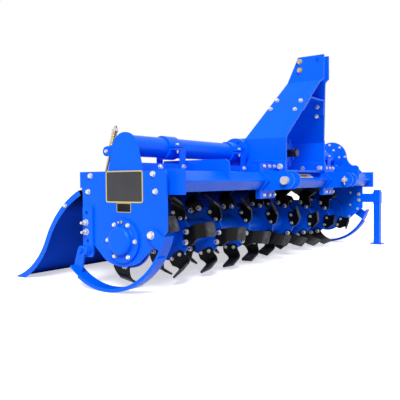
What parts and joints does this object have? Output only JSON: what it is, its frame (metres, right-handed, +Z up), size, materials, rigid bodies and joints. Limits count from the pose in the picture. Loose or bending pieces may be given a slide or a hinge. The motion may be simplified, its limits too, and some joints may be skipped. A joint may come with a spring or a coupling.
{
  "type": "rotary tiller",
  "caption": "Tractor-mounted rotary tiller: bladed rotor under a hood, gear case drive, mast and lower hitch brackets, skids, trailing board and parking stand.",
  "frame": {"origin": "on the ground, in the middle of the whole machine's footprint", "axes": "+X along the rotor to the gear case side, -Y to the tractor, +Z up"},
  "size_m": [2.5075, 1.202, 1.18],
  "materials": {
    "blue_paint": "semi-gloss enamel",
    "blade_black": "black paint, tips worn grey",
    "shaft_black": "oiled steel",
    "zinc": "bright zinc plate",
    "yellow_zinc": "yellow zinc plate"
  },
  "bodies": {
    "frame": {"beam_flanges": "blue_paint", "clamp_caps": "blue_paint", "clamp_saddles": "blue_paint", "cross_tube_far": "blue_paint", "cross_tube_near": "blue_paint", "deck_gussets": "blue_paint", "deck_rails": "blue_paint", "far_hub": "blue_paint", "far_tube_boss": "blue_paint", "far_wall": "blue_paint", "front_beam": "blue_paint", "gear_case": "blue_paint", "gear_case_cover": "blue_paint", "gearbox": "blue_paint", "gearbox_cover": "blue_paint", "gearbox_cradle": "blue_paint", "hinge_rail": "blue_paint", "hinge_rod": "zinc", "hitch_back_plates": "blue_paint", "hitch_bracket_far": "blue_paint", "hitch_bracket_near": "blue_paint", "hitch_pins": "zinc", "hood": "blue_paint", "mast_brace": "blue_paint", "mast_feet": "blue_paint", "mast_plate_far": "blue_paint", "mast_plate_near": "blue_paint", "near_hub": "blue_paint", "near_side_plate": "blue_paint", "rod_arms": "blue_paint", "rod_swivels": "blue_paint", "skid_arms": "blue_paint", "skid_far": "blue_paint", "skid_front_bars": "blue_paint", "skid_near": "blue_paint", "skid_spacers": "blue_paint", "skid_straps": "blue_paint", "stand_sleeve": "blue_paint", "tube_end_plate": "blue_paint"},
    "rotor": {"rotor_tube": "blue_paint", "blade_gang_1": "blade_black", "blade_gang_2": "blade_black", "blade_gang_3": "blade_black", "blade_gang_4": "blade_black", "blade_gang_5": "blade_black", "blade_gang_6": "blade_black", "blade_gang_7": "blade_black", "blade_gang_8": "blade_black", "blade_gang_9": "blade_black"},
    "pto": {"pto_shaft": "shaft_black"},
    "board": {"trailing_board": "blue_paint"},
    "rods": {"spring_rods": "yellow_zinc"},
    "stand": {"stand_post": "blue_paint"}
  },
  "joints": [
    {"name": "rotor_spin", "type": "hinge", "parent": "frame", "child": "rotor", "pos_m": [0, -0.156, 0.226], "axis": [1, 0, 0], "continuous": true},
    {"name": "pto_spin", "type": "hinge", "parent": "frame", "child": "pto", "pos_m": [0, -0.3855, 0.641], "axis": [0, -1, 0], "continuous": true},
    {"name": "board_lift", "type": "hinge", "parent": "frame", "child": "board", "pos_m": [0, 0.116, 0.455], "axis": [1, 0, 0], "range_deg": [0, 40]},
    {"name": "rod_slide", "type": "slide", "parent": "frame", "child": "rods", "axis": [0, -0.309, 0.9511], "range_m": [0, 0.0342]},
    {"name": "stand_slide", "type": "slide", "parent": "frame", "child": "stand", "axis": [0, 0, 1], "range_m": [0, 0.18]}
  ],
  "couplings": [
    {"joint": "pto_spin", "follows": "rotor_spin", "ratio": 2.45},
    {"joint": "rod_slide", "follows": "board_lift", "m_per_rad": 0.0489}
  ]
}
